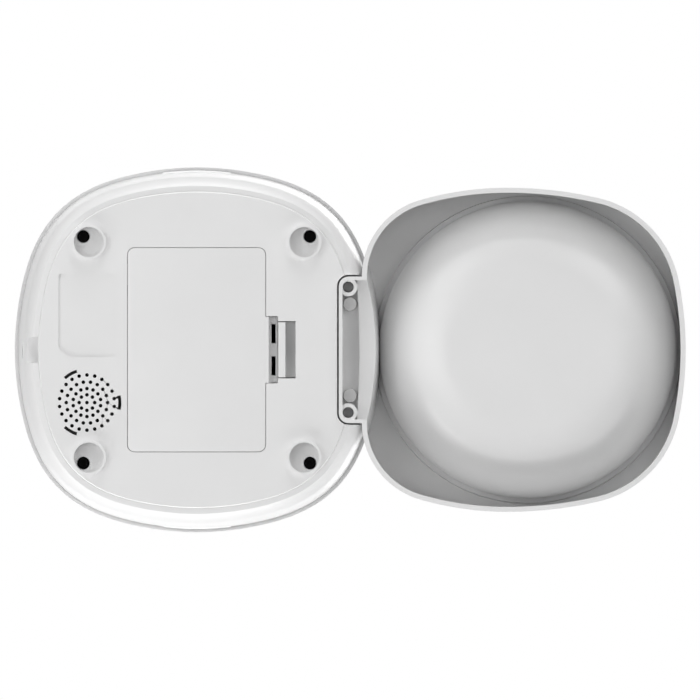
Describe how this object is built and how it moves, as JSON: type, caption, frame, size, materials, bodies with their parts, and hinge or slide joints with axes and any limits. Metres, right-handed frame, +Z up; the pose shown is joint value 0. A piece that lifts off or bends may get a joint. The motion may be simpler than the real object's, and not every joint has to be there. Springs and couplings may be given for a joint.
{
  "type": "smart pet feeder",
  "caption": "Free-standing automatic dry-food feeder: rounded-square tower with lift-off lid, hopper, motor-driven dosing rotor, sloping outlet chute and a clip-on holder with a steel bowl.",
  "frame": {"origin": "middle of the footprint on the floor, under the middle of the whole object", "axes": "+Z up, bowl at -Y, tower at +Y, +X on the speaker grille's side"},
  "size_m": [0.17, 0.312, 0.3],
  "materials": {
    "white_shell": "smooth satin moulded white plastic",
    "white_base": "fine matte moulded white plastic",
    "inner_plastic": "plain moulded grey-white plastic",
    "smoked_clear": "clear plastic with a grey tint",
    "soft_grey": "soft silicone",
    "black_plastic": "moulded black plastic",
    "board_green": "circuit board with solder mask",
    "light_window": "clear light guide",
    "steel": "plain steel",
    "bowl_steel": "brushed stainless steel",
    "gear_plastic": "acetal",
    "black_screw": "blackened steel",
    "cell_wrap": "plain printed cell jacket",
    "magnet": "plated magnet"
  },
  "bodies": {
    "housing": {"bottom_cover": "white_base", "cover_screw_1": "black_screw", "cover_screw_2": "black_screw", "cover_screw_3": "black_screw", "cover_screw_4": "black_screw", "base_housing": "white_base", "body_shell": "white_shell", "battery_box": "inner_plastic", "battery_cell_1": "cell_wrap", "battery_cell_2": "cell_wrap", "battery_cell_3": "cell_wrap", "battery_contact_front": "steel", "battery_contact_rear": "steel", "speaker": "black_plastic", "main_board": "board_green", "power_socket": "black_plastic", "button_board": "board_green", "indicator_window": "light_window", "inner_deck": "inner_plastic", "rotor_chamber": "inner_plastic", "outlet_chute": "white_shell", "chute_sensor_left": "black_plastic", "chute_sensor_right": "black_plastic", "gearbox_base": "inner_plastic", "gearbox_cover": "inner_plastic", "drive_motor": "steel", "compound_axle": "steel", "base_magnet_left": "magnet", "base_magnet_right": "magnet"},
    "dosing_rotor": {"rotor": "soft_grey", "agitator": "inner_plastic", "output_gear": "gear_plastic"},
    "compound": {"compound_gear": "gear_plastic"},
    "pinion": {"motor_pinion": "gear_plastic"},
    "button": {"feed_button": "white_shell"},
    "door": {"battery_door": "white_base"},
    "latch": {"battery_latch": "white_base"},
    "food_hopper": {"hopper": "smoked_clear"},
    "top_lid": {"lid": "white_shell", "lid_seal": "soft_grey", "desiccant_box": "white_shell"},
    "desiccant_lid": {"desiccant_cover": "white_shell"},
    "holder": {"bowl_holder": "white_shell", "holder_magnet_left": "magnet", "holder_magnet_right": "magnet"},
    "bowl": {"steel_bowl": "bowl_steel"}
  },
  "joints": [
    {"name": "rotor_spin", "type": "hinge", "parent": "housing", "child": "dosing_rotor", "pos_m": [0, 0.071, 0.119], "axis": [0, 0, 1], "continuous": true},
    {"name": "compound_spin", "type": "hinge", "parent": "housing", "child": "compound", "pos_m": [-0.01871, 0.0818, 0.1014], "axis": [0, 0, 1], "continuous": true},
    {"name": "pinion_spin", "type": "hinge", "parent": "housing", "child": "pinion", "pos_m": [0, 0.0926, 0.1014], "axis": [0, 0, 1], "continuous": true},
    {"name": "feed_button_press", "type": "slide", "parent": "housing", "child": "button", "axis": [0, 1, 0], "range_m": [0, 0.0012], "stiffness_N_per_m": 600, "springref_m": -0.001},
    {"name": "battery_door_hinge", "type": "hinge", "parent": "housing", "child": "door", "pos_m": [0, 0.10325, 0.003], "axis": [1, 0, 0], "range_deg": [0, 95]},
    {"name": "battery_latch_press", "type": "slide", "parent": "door", "child": "latch", "axis": [0, 1, 0], "range_m": [0, 0.0012], "stiffness_N_per_m": 700, "springref_m": -0.001},
    {"name": "hopper_lift", "type": "slide", "parent": "housing", "child": "food_hopper", "axis": [0, 0, 1], "range_m": [0, 0.14]},
    {"name": "lid_lift", "type": "slide", "parent": "food_hopper", "child": "top_lid", "axis": [0, 0, 1], "range_m": [0, 0.06]},
    {"name": "desiccant_cover_turn", "type": "hinge", "parent": "top_lid", "child": "desiccant_lid", "pos_m": [0, 0.071, 0.274], "axis": [0, 0, 1], "range_deg": [0, 30]},
    {"name": "bowl_holder_release", "type": "slide", "parent": "housing", "child": "holder", "axis": [0, 0, -1], "range_m": [0, 0.022]},
    {"name": "bowl_lift", "type": "slide", "parent": "holder", "child": "bowl", "axis": [0, 0, 1], "range_m": [0, 0.06]}
  ],
  "couplings": [
    {"joint": "compound_spin", "follows": "rotor_spin", "ratio": -3},
    {"joint": "pinion_spin", "follows": "rotor_spin", "ratio": 9}
  ]
}
